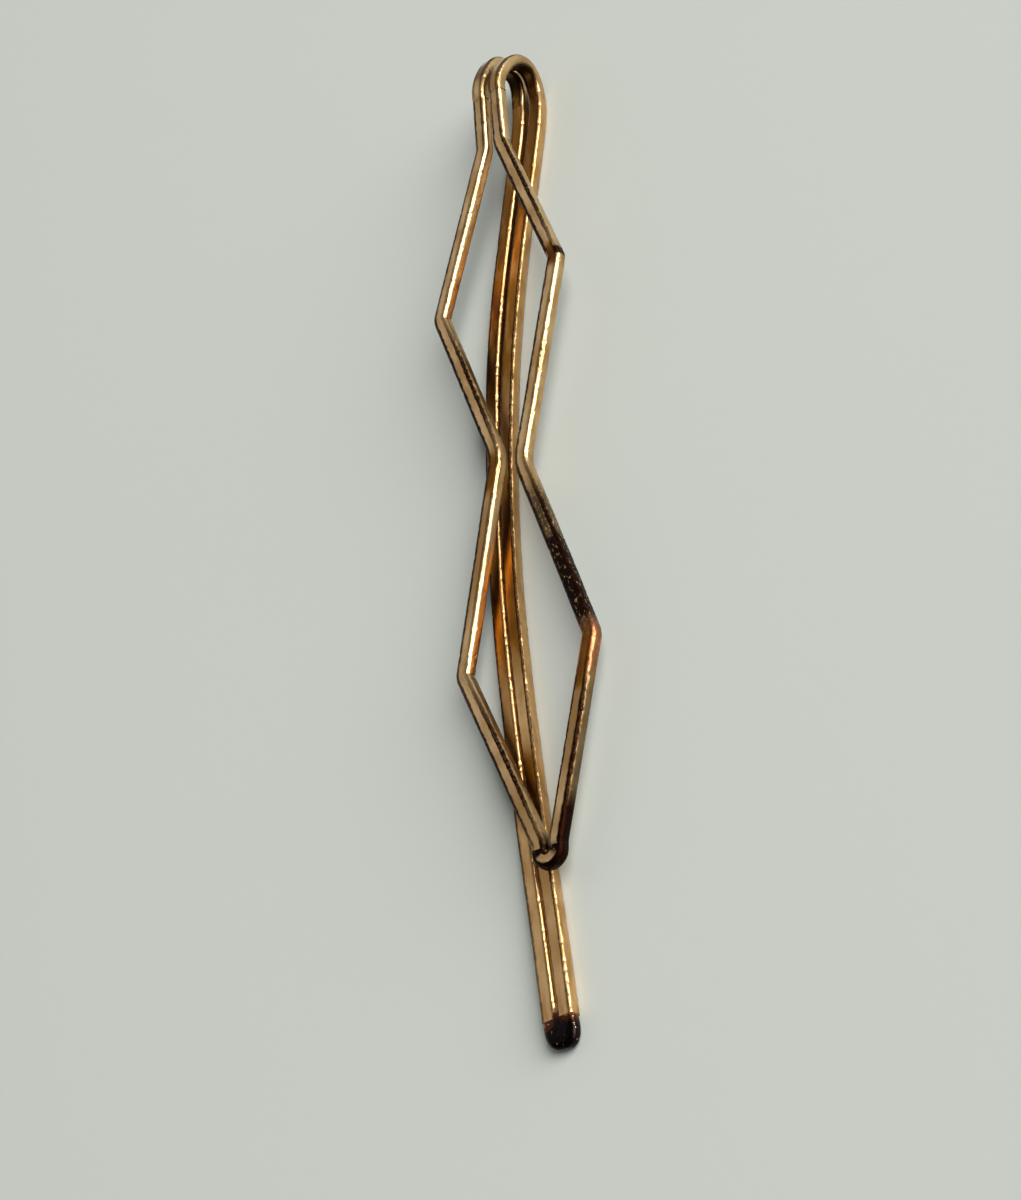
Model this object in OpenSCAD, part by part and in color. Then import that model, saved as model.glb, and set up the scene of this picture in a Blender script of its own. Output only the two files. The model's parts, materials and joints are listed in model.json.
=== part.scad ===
// Sprung hair pin of flattened gilt wire, bent double, with two open diamonds in its upper leg.
// +Y runs along the pin to its bend, and +Z stands up from the flat lower leg.
// The origin is at the middle of the underside of the pin's bounding box. Sizes are in millimetres.

/* [Pin] */
// Length from the tip's end to the far side of the bend's right loop
pin_length = 58.65; // [56:0.05:72]

/* [Wire] */
// Width of the flattened wire, across its flat
wire_w = 0.92; // [0.7:0.01:1.1]
// Thickness of the flattened wire
wire_t = 0.76; // [0.6:0.01:0.9]
// How far the rounded shoulder reaches in across the flat
round_across = 0.16; // [0.06:0.01:0.3]
// How far the rounded shoulder reaches down the side
round_down = 0.26; // [0.06:0.01:0.29]
// Gap between two wires that lie side by side
wire_gap = 0.03; // [0.01:0.01:0.1]

/* [Lower leg] */
// How far the lower leg bows sideways
leg_bow = 2.85; // [0:0.05:3.5]
// How far the lower leg's end turns back the other way at the bend
leg_flick = 0.4; // [0:0.05:1]
// How far the lower leg's last millimetres hook in again before the bend
leg_hook = 0.4; // [0:0.05:0.6]
// How far the lower leg's left wire spreads from the right one towards the bend
left_spread = 0.22; // [0:0.01:0.5]
// How far the lower leg's right wire spreads from the left one towards the bend
right_spread = 0.1; // [0:0.01:0.5]
// Length of the rounded tip that closes both wires
tip_length = 1.5; // [0.8:0.1:2.5]
// How far the tip's end sits to the side
tip_lean = 0.2; // [0:0.05:0.4]
// How much wider than the wires the tip swells, as a share of their width
tip_swell = 0.08; // [0:0.01:0.15]

/* [Bend] */
// Radius of the bend, at the middle of the wire
bend_r = 1.7; // [1.5:0.02:2.4]
// How far the bend reaches along the pin, as a share of its radius
bend_stretch = 1.13; // [1:0.01:1.5]
// Angle by which the bend closes past a half turn
bend_close = 17.75; // [12:0.25:20]
// How far the bend's upper ends lean sideways
bend_lean = 0.325; // [0:0.005:1]
// How far the top of the bend sits back from its bottom
bend_rake = 0.76; // [0:0.01:1.2]
// How far the middle of the bend swings sideways
bend_bulge = 0.32; // [0:0.01:0.5]
// How far each of the bend's two loops spreads from the other at its middle
loop_spread = 0.1; // [0:0.01:0.4]
// How far the bend's left loop closes in on the right one in its lower half
loop_pinch = 0.24; // [0:0.01:0.26]
// How far each of the bend's two loops spreads from the other at its upper end
end_spread = 0.13; // [0:0.01:0.4]
// How far the left loop reaches beyond the right one
bend_skew = 0.74; // [0:0.02:1]
// Distance from the centre of the bend to the neck, where the wires part
neck_reach = 3.8; // [3.5:0.1:5]
// How far the neck sits to the side of the lower leg's ends
neck_lean = 0.84; // [0:0.02:1.2]
// How far the two wires spread from each other at the neck
neck_spread = 0.16; // [0:0.01:0.4]

/* [Upper leg] */
// Distance from the middle of the upper leg to a diamond's side corner
corner_reach = 4.15; // [3:0.05:5.5]
// Length of the run from the neck to the upper corners
upper_run = 9.55; // [9:0.05:11.5]
// Length of the run from the upper corners to the waist
waist_run = 10.75; // [9:0.05:12]
// Length of the run from the waist to the lower corners
lower_run = 11.9; // [10:0.1:12.5]
// Length of the run from the lower corners to the nose
nose_run = 10.4; // [9:0.1:11]
// How far the upper right corner sits ahead of the upper left one
corner_stagger = 0.25; // [0:0.05:1]
// How far the lower right corner sits behind the lower left one
lower_stagger = 0.3; // [0:0.05:1]
// How far the lower corners sit to the side of the upper leg's middle line
lower_shift = 0.05; // [0:0.05:0.8]
// How far the right wire's waist sits behind the left one's
waist_stagger = 1; // [0:0.02:1.2]
// Gap between the two wires at the waist
waist_gap = 0.68; // [0.2:0.02:1.2]
// Clear height between the lower leg and the waist
waist_lift = 0.48; // [0.3:0.02:1]
// Clear height between the lower leg and the nose
nose_lift = 0.2; // [0.15:0.01:0.5]
// How far the upper leg bows sideways
arm_bow = 0.9; // [0:0.05:1.5]
// How far the nose sits to the side of the bend
nose_shift = 0.36; // [0:0.02:0.8]
// Bend radius at the diamonds' side corners, at the middle of the wire
corner_r = 0.65; // [0.6:0.05:1.5]
// Bend radius at the neck, at the middle of the wire
neck_r = 1.2; // [0.8:0.1:3]
// Bend radius at the waist, at the middle of the wire
waist_r = 2.2; // [1:0.1:4]
// Slot left between the wires inside the nose
nose_slot = 0.12; // [0.05:0.01:0.3]
// Length of the nose where its wires run side by side
nose_neck = 0.35; // [0.25:0.05:1.5]

/* [Hidden] */

// Sides of the pin, as signs of X
left = -1;
right = 1;

// Colours of the gilt wire and of its darkened end
gilt = [0.79, 0.60, 0.40];
shaded_gilt = [0.66, 0.45, 0.26];
dark_gilt = [0.24, 0.14, 0.10];

// Counts of stations along each stretch, and of steps round each shoulder
leg_steps = 30;
bend_steps = 20;
corner_steps = 5;
nose_steps = 14;
tip_steps = 8;
shoulder_steps = 4;

// Spacing of wires that lie side by side, and of those in the nose
pitch = wire_w + wire_gap;
nose_r = (wire_w + nose_slot) / 2;

// Heights of the wire's middle
leg_z = wire_t / 2;
waist_z = wire_t + waist_lift + wire_t / 2;
nose_z = wire_t + nose_lift + wire_t / 2;

// The bend's centre, and the end of its arc
rake = bend_rake / (2 * bend_r);
bend_y = pin_length - wire_t / 2 - bend_r * sqrt(pow(bend_stretch, 2) + pow(rake, 2));
bend_z = leg_z + bend_r;
function bend_at(a) = [bend_y + bend_r * (bend_stretch * cos(a) - rake * sin(a)), bend_z + bend_r * sin(a)];
function bend_dir(a) = unit([0, -bend_stretch * sin(a) - rake * cos(a), cos(a)]);
arc_turn = 180 + bend_close;
leg_end_y = bend_at(-90)[0];
arc_end = bend_at(arc_turn - 90);
neck_dir = bend_dir(arc_turn - 90);

// Places along the pin
neck_y = bend_y - neck_reach;
neck_z = arc_end[1] - (arc_end[0] - neck_y) * neck_dir[2] / neck_dir[1];
upper_y = neck_y - upper_run;
waist_y = upper_y - waist_run;
lower_y = waist_y - lower_run;
pinch_y = lower_y - nose_run;
nose_y = pinch_y - nose_neck;

// Where the arms end and the nose begins, as a share of the nose's parallel stretch
nose_share = 0.75;
nose_cut_y = pinch_y - nose_share * nose_neck;

// The lower leg bows most beyond its middle, flicks back near the bend, and hooks in at its end
bow_power = 1.15;
flick_power = 4;
hook_power = 40;
function along(y) = max(y, 0) / leg_end_y;
function leg_x(y) =
    leg_flick * pow(along(y), flick_power) - leg_hook * pow(along(y), hook_power)
    - leg_bow * sin(180 * pow(along(y), bow_power));
function leg_slope(y) =
    (leg_flick * flick_power * pow(along(y), flick_power - 1)
     - leg_hook * hook_power * pow(along(y), hook_power - 1)
     - leg_bow * cos(180 * pow(along(y), bow_power)) * PI * bow_power * pow(along(y), bow_power - 1))
    / leg_end_y;
function leg_dir(y) = unit([leg_slope(y), 1, 0]);

// Where each wire of the lower leg starts and ends its spread, as shares of the leg
left_spread_over = [0.55, 0.75];
right_spread_over = [0.82, 0.91];
function eased(t, over) = let (s = min(max((t - over[0]) / (over[1] - over[0]), 0), 1)) s * s * (3 - 2 * s);
function leg_spread(side, y) =
    side == left ? -left_spread * eased(along(y), left_spread_over)
                 : right_spread * eased(along(y), right_spread_over);

// The upper leg's middle line, sideways and upwards
function gone(y) = (neck_y - y) / (neck_y - nose_y);
function arm_x(y) = -neck_lean + (nose_shift + neck_lean) * gone(y) - 4 * arm_bow * gone(y) * (1 - gone(y));
function arm_z(y) =
    y > waist_y ? waist_z + (neck_z - waist_z) * (y - waist_y) / (neck_y - waist_y)
                : nose_z + (waist_z - nose_z) * (y - pinch_y) / (waist_y - pinch_y);

function unit(v) = v / norm(v);

// A flattened wire's outline: a rectangle whose shoulders are quarter ellipses
function outline(half_w, half_t, across, down) =
    [for (corner = [[1, 1, 0], [-1, 1, 90], [-1, -1, 180], [1, -1, 270]])
        for (i = [0:shoulder_steps])
            let (a = corner[2] + 90 * i / shoulder_steps)
                [corner[0] * (half_w - across) + across * cos(a),
                 corner[1] * (half_t - down) + down * sin(a)]];
wire_outline = outline(wire_w / 2, wire_t / 2, round_across, round_down);

// One ring of a sweep: the outline stood square to the path, with its flat facing out
function ring(shape, middle, dir, out) =
    let (across = unit(cross(dir, out)), up = cross(across, dir))
        [for (q = shape) middle + q[0] * across + q[1] * up];

// Directions along a path, each the mean of the runs before and after a station
function dirs(path, first, last) =
    [for (i = [0:len(path) - 1])
        i == 0 ? first
        : i == len(path) - 1 ? last
        : unit(unit(path[i][0] - path[i - 1][0]) + unit(path[i + 1][0] - path[i][0]))];
function rings(path, first, last) =
    let (d = dirs(path, first, last))
        [for (i = [0:len(path) - 1]) ring(wire_outline, path[i][0], d[i], path[i][1])];

// The arc that rounds the corner at b between a and c, as stations that face out
function fillet(a, b, c, r, out) =
    let (to_a = unit(a - b), to_c = unit(c - b))
    let (half = acos(to_a * to_c) / 2)
    let (centre = b + unit(to_a + to_c) * r / sin(half))
    let (start = unit(b + to_a * r / tan(half) - centre))
        [for (i = [0:corner_steps])
            let (turn = (180 - 2 * half) * i / corner_steps)
                [centre + r * (cos(turn) * start - sin(turn) * to_a), out]];
function rounded(points, radii, out) =
    concat([[points[0], out]],
           [for (i = [1:len(points) - 2])
               each fillet(points[i - 1], points[i], points[i + 1], radii[i - 1], out)],
           [[points[len(points) - 1], out]]);

// Stations of each stretch of wire, where side is left or right
up = [0, 0, 1];
function leg_point(side, y) =
    let (d = leg_dir(y))
        [leg_x(y) + leg_spread(side, y), y, leg_z] + side * pitch / 2 * [d[1], -d[0], 0];

// The leg's stations crowd together towards the bend, where it turns most
leg_crowding = 1.6;
function leg_path(side) =
    [for (i = [0:leg_steps])
        [leg_point(side, leg_end_y - (leg_end_y - tip_length) * pow(1 - i / leg_steps, leg_crowding)), -up]];

bend_start = [for (side = [left, right]) leg_point(side, leg_end_y)];
bend_swing = leg_slope(leg_end_y) * bend_r * PI * arc_turn / 180;
function bend_end_x(side) = side * (pitch / 2 + end_spread) - bend_lean;
function bend_x(side, u) =
    let (from = bend_start[side == left ? 0 : 1][0])
        from + bend_swing * u * pow(1 - u, 2) + (bend_end_x(side) - from) * (3 * pow(u, 2) - 2 * pow(u, 3))
        + (bend_bulge + side * loop_spread) * pow(sin(180 * u), 2)
        + (side == left && u < 0.5 ? loop_pinch * pow(sin(360 * u), 2) : 0);
function bend_path(side) =
    let (start = bend_start[side == left ? 0 : 1], skew = side == left ? bend_skew : 0)
        [for (i = [0:bend_steps])
            let (u = i / bend_steps, a = arc_turn * u - 90, at = bend_at(a), d = bend_dir(a))
            let (y = at[0] + (start[1] - leg_end_y) * (1 - u) + skew * pow(sin(180 * u), 2))
                [[bend_x(side, u), y, at[1]], [0, d[2], -d[1]]]];

function arm_point(side, y, reach) = [arm_x(y) + side * reach, y, arm_z(y)];
function arm_path(side) =
    rounded([[bend_end_x(side), arc_end[0], arc_end[1]],
             [side * (pitch / 2 + neck_spread) - neck_lean, neck_y, neck_z],
             arm_point(side, upper_y + side * corner_stagger / 2, corner_reach),
             arm_point(side, waist_y - side * waist_stagger / 2, (wire_w + waist_gap) / 2),
             arm_point(side, lower_y - side * lower_stagger / 2, corner_reach) + [lower_shift, 0, 0],
             [nose_shift + side * nose_r, pinch_y, nose_z],
             [nose_shift + side * nose_r, nose_cut_y, nose_z]],
            [neck_r, corner_r, waist_r, corner_r, nose_r], up);
function nose_path() =
    concat([[[nose_shift + left * nose_r, nose_cut_y, nose_z], up]],
           [for (i = [0:nose_steps])
               let (a = 180 + 180 * i / nose_steps)
                   [[nose_shift + nose_r * cos(a), nose_y + nose_r * sin(a), nose_z], up]],
           [[[nose_shift + right * nose_r, nose_cut_y, nose_z], up]]);

// Rings of the rounded tip, which starts as wide as both wires and closes on its end
tip_dir = leg_dir(tip_length);
tip_last_turn = 84;
blunt_across = 0.6;
blunt_down = 0.3;
shoulder_limit = 0.999;
tip_rings =
    [for (i = [0:tip_steps])
        let (a = tip_last_turn * i / tip_steps)
        let (shut = pow(cos(a), blunt_across), thin = pow(cos(a), blunt_down))
        let (half_w = shut * (1 + tip_swell * sin(2 * a)) * (pitch + wire_w) / 2, half_t = thin * wire_t / 2)
        let (gone_by = sin(a) / sin(tip_last_turn))
        let (across = min(half_w * shoulder_limit, round_across / shut))
        let (down = min(half_t * shoulder_limit, round_down * thin))
            ring(outline(half_w, half_t, across, down),
                 [leg_x(tip_length) + tip_lean * gone_by, tip_length, leg_z] - tip_dir * tip_length * gone_by,
                 -tip_dir, up)];

// Every stretch as its list of rings
left_leg_rings = rings(leg_path(left), leg_dir(tip_length), leg_dir(leg_end_y));
right_leg_rings = rings(leg_path(right), leg_dir(tip_length), leg_dir(leg_end_y));
left_bend_rings = rings(bend_path(left), leg_dir(leg_end_y), neck_dir);
right_bend_rings = rings(bend_path(right), leg_dir(leg_end_y), neck_dir);
left_arm_rings = rings(arm_path(left), neck_dir, [0, -1, 0]);
right_arm_rings = rings(arm_path(right), neck_dir, [0, -1, 0]);
nose_rings = rings(nose_path(), [0, -1, 0], [0, 1, 0]);

// The move that puts the origin at the middle of the underside
all_rings = concat(left_leg_rings, right_leg_rings, tip_rings, left_bend_rings, right_bend_rings,
                   left_arm_rings, right_arm_rings, nose_rings);
function reach(axis) = [for (r = all_rings) each [for (p = r) p[axis]]];
home = [-(min(reach(0)) + max(reach(0))) / 2, -(min(reach(1)) + max(reach(1))) / 2, -min(reach(2))];

// A closed skin over a list of rings, with flat ends
module skin(list) {
    n = len(list[0]);
    last = (len(list) - 1) * n;
    sides = [for (i = [0:len(list) - 2])
                for (j = [0:n - 1])
                    each [[i * n + j, i * n + (j + 1) % n, (i + 1) * n + j],
                          [(i + 1) * n + j, i * n + (j + 1) % n, (i + 1) * n + (j + 1) % n]]];
    ends = [[for (j = [n - 1:-1:0]) j], [for (j = [0:n - 1]) last + j]];
    translate(home)
        polyhedron(points = [for (r = list) each r], faces = concat(sides, ends));
}

module left_leg() { color(shaded_gilt) skin(left_leg_rings); }
module right_leg() { color(shaded_gilt) skin(right_leg_rings); }
module tip() { color(dark_gilt) skin(tip_rings); }
module left_bend() { color(gilt) skin(left_bend_rings); }
module right_bend() { color(gilt) skin(right_bend_rings); }
module left_arm() { color(gilt) skin(left_arm_rings); }
module right_arm() { color(gilt) skin(right_arm_rings); }
module nose() { color(gilt) skin(nose_rings); }

left_leg();
right_leg();
tip();
left_bend();
right_bend();
left_arm();
right_arm();
nose();
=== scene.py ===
"""Looks of a sprung hair pin: flattened gilt wire bent double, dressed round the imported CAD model.

The pin's sizes are in millimetres, as in the CAD source, and turn into metres where a mesh is made.
The wire runs along +Y to its bend, and +Z stands up from the flat lower leg.
"""

from __future__ import annotations

import json
import logging
import math
from dataclasses import dataclass
from enum import Enum
from typing import Any, Iterable

import bpy
import numpy as np
from mathutils import Matrix, Vector

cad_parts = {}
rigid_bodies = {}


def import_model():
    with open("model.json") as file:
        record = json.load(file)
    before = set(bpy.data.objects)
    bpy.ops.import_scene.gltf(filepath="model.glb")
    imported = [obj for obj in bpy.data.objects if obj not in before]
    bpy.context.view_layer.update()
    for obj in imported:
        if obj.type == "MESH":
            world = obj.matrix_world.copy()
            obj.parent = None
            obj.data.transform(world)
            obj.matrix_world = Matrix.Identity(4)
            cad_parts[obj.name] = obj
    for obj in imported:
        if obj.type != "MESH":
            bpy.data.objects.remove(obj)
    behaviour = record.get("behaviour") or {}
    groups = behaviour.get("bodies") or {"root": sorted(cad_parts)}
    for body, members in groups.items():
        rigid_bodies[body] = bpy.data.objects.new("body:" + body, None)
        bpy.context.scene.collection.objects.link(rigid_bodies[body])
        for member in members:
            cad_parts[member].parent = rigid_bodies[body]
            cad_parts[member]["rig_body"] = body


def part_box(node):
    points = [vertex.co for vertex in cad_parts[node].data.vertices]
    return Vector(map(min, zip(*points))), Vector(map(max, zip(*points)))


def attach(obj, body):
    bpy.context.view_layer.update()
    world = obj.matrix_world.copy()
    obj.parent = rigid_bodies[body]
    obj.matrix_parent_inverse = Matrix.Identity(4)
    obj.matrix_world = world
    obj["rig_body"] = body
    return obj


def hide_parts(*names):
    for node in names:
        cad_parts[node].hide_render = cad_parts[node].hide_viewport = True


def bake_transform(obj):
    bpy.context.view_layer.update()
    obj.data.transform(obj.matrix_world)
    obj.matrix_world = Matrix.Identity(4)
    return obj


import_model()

LOG = logging.getLogger("hair_pin")
MM = 0.001
UP = np.array([0.0, 0.0, 1.0])
SENSOR = 36.0

ATTRIBUTE = "ShaderNodeAttribute"
MAP_RANGE = "ShaderNodeMapRange"
MATH = "ShaderNodeMath"
MIX = "ShaderNodeMix"
NAMED = "GeometryNodeInputNamedAttribute"
NOISE = "ShaderNodeTexNoise"
SPLIT = "ShaderNodeSeparateXYZ"
VECTOR_MATH = "ShaderNodeVectorMath"

ABSOLUTE = {"operation": "ABSOLUTE"}
ADD = {"operation": "ADD"}
DIVIDE = {"operation": "DIVIDE"}
MAXIMUM = {"operation": "MAXIMUM"}
MULTIPLY = {"operation": "MULTIPLY"}
MULTIPLY_ADD = {"operation": "MULTIPLY_ADD"}
MULTIPLY_CLAMPED = {"operation": "MULTIPLY", "use_clamp": True}
SCALE = {"operation": "SCALE"}
SUBTRACT = {"operation": "SUBTRACT"}

COLOURS = {"data_type": "RGBA"}
FLOATS = {"data_type": "FLOAT"}
SMOOTH = {"interpolation_type": "SMOOTHSTEP"}
VECTORS = {"data_type": "FLOAT_VECTOR"}


class Side(Enum):
    """The two wires of the pin, as signs of X."""

    LEFT = -1
    RIGHT = 1


class Stain(Enum):
    """The marks along a stretch of the wire's surface, each a named attribute of the mesh: the pin's own
    stains, painted shade and painted dark reflection, and a crumple.
    """

    # Black marks: the pin's own grime on the right arm, and painted shade in the nose's crumpled slot.
    SOOT_AND_SHADE = "soot_and_shade"
    COPPER = "copper"
    # Amber to umber: the pin's own brown patches, and painted shade on the lower leg where the upper leg lies
    # over it.
    AMBER = "amber"
    # Painted shade on the loops' inner face, where they look down into the eye.
    SHADE = "shade"
    # A dark line along the shoulders: partly oxide, partly painted dark reflection of the room overhead.
    LINE = "line"
    # One side darkened: partly the pin's own black grime, partly painted shade on the wire's far edge and the
    # nose's rim.
    SHADED_SIDE_AND_SOOT = "shaded_side_and_soot"
    CRUMPLE = "crumple"


def unit(v: np.ndarray) -> np.ndarray:
    """Returns vectors scaled to length one, along the last axis."""
    return v / np.linalg.norm(v, axis=-1, keepdims=True)


def linear(colour: str) -> tuple[float, float, float, float]:
    """Turns an sRGB hex colour into the linear values that a shader takes.

    Args:
        colour: The colour, such as "#C09060".

    Returns:
        Red, green, blue and alpha.
    """
    parts = [int(colour[i : i + 2], 16) / 255 for i in (1, 3, 5)]
    red, green, blue = [c / 12.92 if c <= 0.04045 else ((c + 0.055) / 1.055) ** 2.4 for c in parts]
    return (red, green, blue, 1.0)


def add_node(tree: Any, kind: str, settings: dict | None = None, links: dict | None = None) -> Any:
    """Adds a node to a tree, sets it up and feeds its inputs.

    Args:
        tree: The node tree.
        kind: The node's type name.
        settings: The node's own settings, by name.
        links: What each input gets, by its name or number: a socket to link, a node whose first socket
            to link, a hex colour or a plain value.

    Returns:
        The new node.
    """
    node = tree.nodes.new(kind)
    for name, value in (settings or {}).items():
        setattr(node, name, value)
    for name, value in (links or {}).items():
        if isinstance(value, bpy.types.Node):
            value = value.outputs[0]
        if isinstance(value, bpy.types.NodeSocket):
            tree.links.new(value, node.inputs[name])
        elif isinstance(value, str) and value.startswith("#"):
            node.inputs[name].default_value = linear(value)
        else:
            node.inputs[name].default_value = value
    return node


def blank_material(name: str) -> bpy.types.Material:
    """Makes a material whose tree is empty.

    Args:
        name: Its name.

    Returns:
        The material.
    """
    material = bpy.data.materials.new(name)
    material.use_nodes = True
    material.node_tree.nodes.clear()
    return material


def place_object(name: str, data: bpy.types.ID) -> bpy.types.Object:
    """Makes an object of the scene.

    Args:
        name: Its name.
        data: The mesh, lamp or camera that it holds.

    Returns:
        The object.
    """
    placed = bpy.data.objects.new(name, data)
    bpy.context.scene.collection.objects.link(placed)
    return placed


@dataclass(frozen=True)
class StainedStretch:
    """One stained stretch of a wire: its kind, its middle and reach along the piece, and its depth."""

    stain: Stain
    middle: float
    reach: float
    depth: float


Stains = tuple[StainedStretch, ...]


def stained(stain: Stain, *stretches: tuple[float, float, float]) -> Stains:
    """Returns stretches of one stain, each from its middle, reach and depth."""
    return tuple(StainedStretch(stain, *stretch) for stretch in stretches)


@dataclass
class WirePath:
    """The line that a stretch of wire follows, in the CAD source's own frame.

    Attributes:
        points: Points along the wire's middle.
        out: The direction that the wire's outer flat faces, at each point.
        starts_at: How far along the whole wire the stretch starts.
        stains: The stretch's stains, placed by distance from its start.
    """

    points: np.ndarray
    out: np.ndarray
    starts_at: float = 0.0
    stains: Stains = ()

    def gone(self) -> np.ndarray:
        """Returns each point's distance from the start, along the wire."""
        runs = np.linalg.norm(np.diff(self.points, axis=0), axis=1)
        return np.concatenate([[0.0], np.cumsum(runs)])

    @property
    def ends_at(self) -> float:
        """How far along the whole wire the stretch ends."""
        return self.starts_at + float(self.gone()[-1])

    def spaced(self, step: float) -> WirePath:
        """Returns the same path with its points at most step apart.

        Args:
            step: The longest distance between points.

        Returns:
            The new path.
        """
        gone = self.gone()
        at = np.linspace(0.0, gone[-1], int(math.ceil(gone[-1] / step)) + 1)
        points = np.stack([np.interp(at, gone, self.points[:, i]) for i in range(3)], -1)
        out = np.stack([np.interp(at, gone, self.out[:, i]) for i in range(3)], -1)
        return WirePath(points, unit(out), self.starts_at, self.stains)

    def stain_depth(self, stain: Stain) -> np.ndarray:
        """Returns how deep one kind of stain is at each point.

        Args:
            stain: The kind of stain.

        Returns:
            A value from -1 to 1 for each point.
        """
        gone = self.gone()
        depth = np.zeros(len(gone))
        for stretch in self.stains:
            if stretch.stain is stain:
                bump = stretch.depth * np.exp(-(((gone - stretch.middle) / stretch.reach) ** 4))
                depth = np.where(np.abs(bump) > np.abs(depth), bump, depth)
        return depth

    def line_mesh(self, name: str, home: np.ndarray) -> bpy.types.Mesh:
        """Makes a mesh of edges that holds the path and its attributes, in metres.

        Args:
            name: The mesh's name.
            home: The move from the CAD source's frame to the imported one.

        Returns:
            The mesh.
        """
        count = len(self.points)
        mesh = bpy.data.meshes.new(name)
        mesh.from_pydata((self.points + home) * MM, [(i, i + 1) for i in range(count - 1)], [])
        facing = mesh.attributes.new("facing", "FLOAT_VECTOR", "POINT")
        facing.data.foreach_set("vector", self.out.astype(np.float32).ravel())
        scalars = {"along": self.starts_at + self.gone()}
        scalars.update({stain.value: self.stain_depth(stain) for stain in Stain})
        for label, values in scalars.items():
            layer = mesh.attributes.new(label, "FLOAT", "POINT")
            layer.data.foreach_set("value", values.astype(np.float32))
        return mesh


@dataclass(frozen=True)
class Wire:
    """The flattened wire: a round wire rolled between flats, which leaves its shoulders round."""

    width: float = 0.92
    thickness: float = 0.76
    shoulder: float = 0.24
    drop: float = 0.27
    gap: float = 0.03
    spacing: float = 0.06
    girth_points: int = 64
    waver: float = 0.04
    waver_length: float = 5.0
    dent: float = 0.03
    dent_length: float = 0.3
    crumple: float = 0.12

    @property
    def pitch(self) -> float:
        """Spacing of two wires that lie side by side."""
        return self.width + self.gap

    @property
    def flat(self) -> float:
        """Half the width of the wire's flat."""
        return self.width / 2 - self.shoulder


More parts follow.
